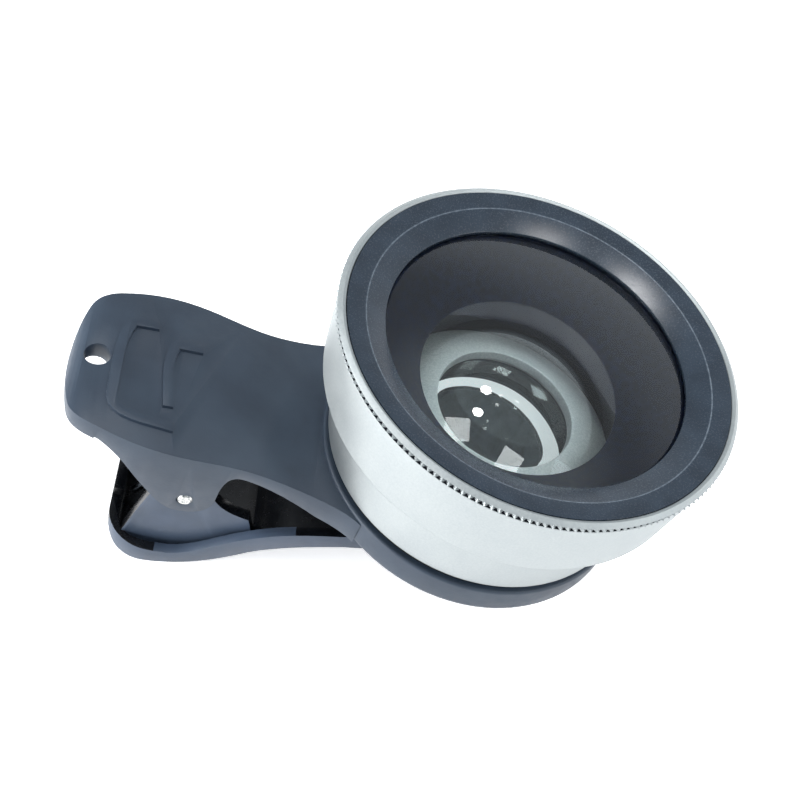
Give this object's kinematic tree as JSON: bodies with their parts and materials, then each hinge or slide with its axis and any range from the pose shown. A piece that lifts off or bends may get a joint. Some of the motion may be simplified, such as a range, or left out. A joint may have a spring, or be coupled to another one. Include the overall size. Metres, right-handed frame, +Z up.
{
  "type": "clip-on phone lens",
  "caption": "Sprung plastic clip with a threaded ring that carries a silver screw-in macro and wide-angle lens for a phone's camera.",
  "frame": {"origin": "centre of the bounding box's base, on the surface that the lower lever rests on", "axes": "+X from the thumb levers towards the lens, +Z up as the part rests, +Y to the side; the lens axis leans 16.3 degrees from +Z towards +X"},
  "size_m": [0.0822, 0.051, 0.0412],
  "materials": {
    "clip_plastic": "moulded satin black, cool tint",
    "lever_plastic": "moulded satin black",
    "pin_steel": "bright cut end",
    "spring_steel": "drawn wire",
    "pad_rubber": "matt soft",
    "barrel_aluminium": "satin pearl anodised",
    "ring_aluminium": "turned",
    "black_anodised": "fine matt black",
    "lens_glass": "polished, black-painted edge",
    "macro_glass": "polished",
    "washer_black": "matt"
  },
  "bodies": {
    "lower_lever": {"lower_arm": "lever_plastic", "lower_jaw_pad": "pad_rubber"},
    "upper_lever": {"upper_arm": "clip_plastic", "upper_jaw_pad": "pad_rubber", "pivot_pin": "pin_steel", "torsion_spring": "spring_steel", "seat_washer": "washer_black"},
    "macro_cell": {"macro_lens": "macro_glass", "macro_retaining_ring": "ring_aluminium", "macro_lens_washer": "washer_black"},
    "macro_sleeve": {"macro_barrel": "barrel_aluminium"},
    "wide_cell": {"front_element": "lens_glass", "front_ring": "black_anodised", "front_washer": "washer_black"},
    "wide_sleeve": {"wide_barrel": "barrel_aluminium"}
  },
  "joints": [
    {"name": "clip_hinge", "type": "hinge", "parent": "lower_lever", "child": "upper_lever", "pos_m": [-0.02639, 0, 0.01451], "axis": [0, -1, 0], "range_deg": [0, 32], "stiffness_Nm_per_rad": 0.27, "springref_deg": -42.4, "deforming": ["torsion_spring"]},
    {"name": "macro_advance", "type": "slide", "parent": "upper_lever", "child": "macro_cell", "axis": [0.2806, 0, 0.9598], "range_m": [0, 0.003]},
    {"name": "macro_turn", "type": "hinge", "parent": "macro_cell", "child": "macro_sleeve", "pos_m": [0.00897, 0, 0.00751], "axis": [0.2806, 0, 0.9598], "range_deg": [0, 1440]},
    {"name": "wide_advance", "type": "slide", "parent": "macro_sleeve", "child": "wide_cell", "axis": [0.2806, 0, 0.9598], "range_m": [0, 0.003]},
    {"name": "wide_turn", "type": "hinge", "parent": "wide_cell", "child": "wide_sleeve", "pos_m": [0.00897, 0, 0.00751], "axis": [0.2806, 0, 0.9598], "range_deg": [0, 1440]}
  ],
  "couplings": [
    {"joint": "macro_advance", "follows": "macro_turn", "m_per_rad": 0.00011937},
    {"joint": "wide_advance", "follows": "wide_turn", "m_per_rad": 0.00011937}
  ]
}
